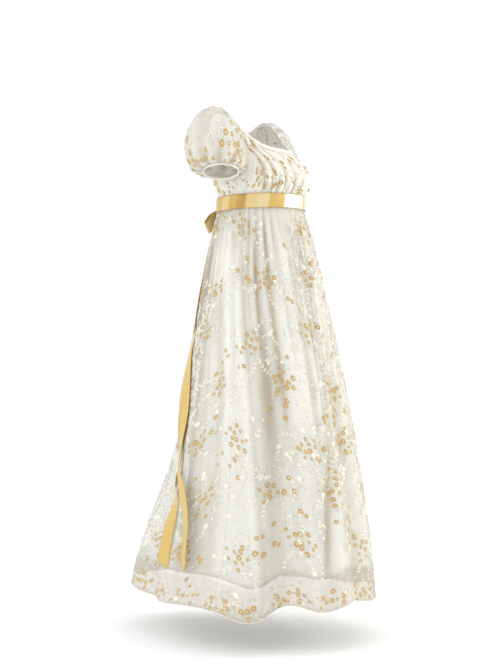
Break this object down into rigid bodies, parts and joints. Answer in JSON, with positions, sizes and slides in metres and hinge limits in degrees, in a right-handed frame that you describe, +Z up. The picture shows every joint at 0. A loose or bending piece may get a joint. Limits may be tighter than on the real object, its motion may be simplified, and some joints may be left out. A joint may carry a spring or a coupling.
{
  "type": "regency gown",
  "caption": "Full-length high-waisted gown in embroidered organza, worn form with no wearer: gathered bodice, short puff sleeves, gold satin sash with a bow and long tails.",
  "frame": {"origin": "midway between the wearer's shoulders, at the height of the neckline's highest points", "axes": "+Z up along the wearer, -Y the way the gown faces, +X to the wearer's left"},
  "size_m": [0.5917, 0.7554, 1.3315],
  "materials": {
    "organza": "sheer, embroidered",
    "lining": "soft satin",
    "white_band": "matte",
    "gold_satin": "satin"
  },
  "bodies": {
    "root": {"bodice_back": "organza", "bodice_front": "organza", "bow_knot": "gold_satin", "bow_loop_left": "gold_satin", "bow_loop_right": "gold_satin", "cuff_left": "white_band", "cuff_right": "white_band", "lining_back": "lining", "lining_front": "lining", "neck_casing": "white_band", "sash_band": "gold_satin", "sash_tail_left": "gold_satin", "sash_tail_right": "gold_satin", "skirt_back": "organza", "skirt_front": "organza", "sleeve_left": "organza", "sleeve_right": "organza"}
  },
  "joints": []
}
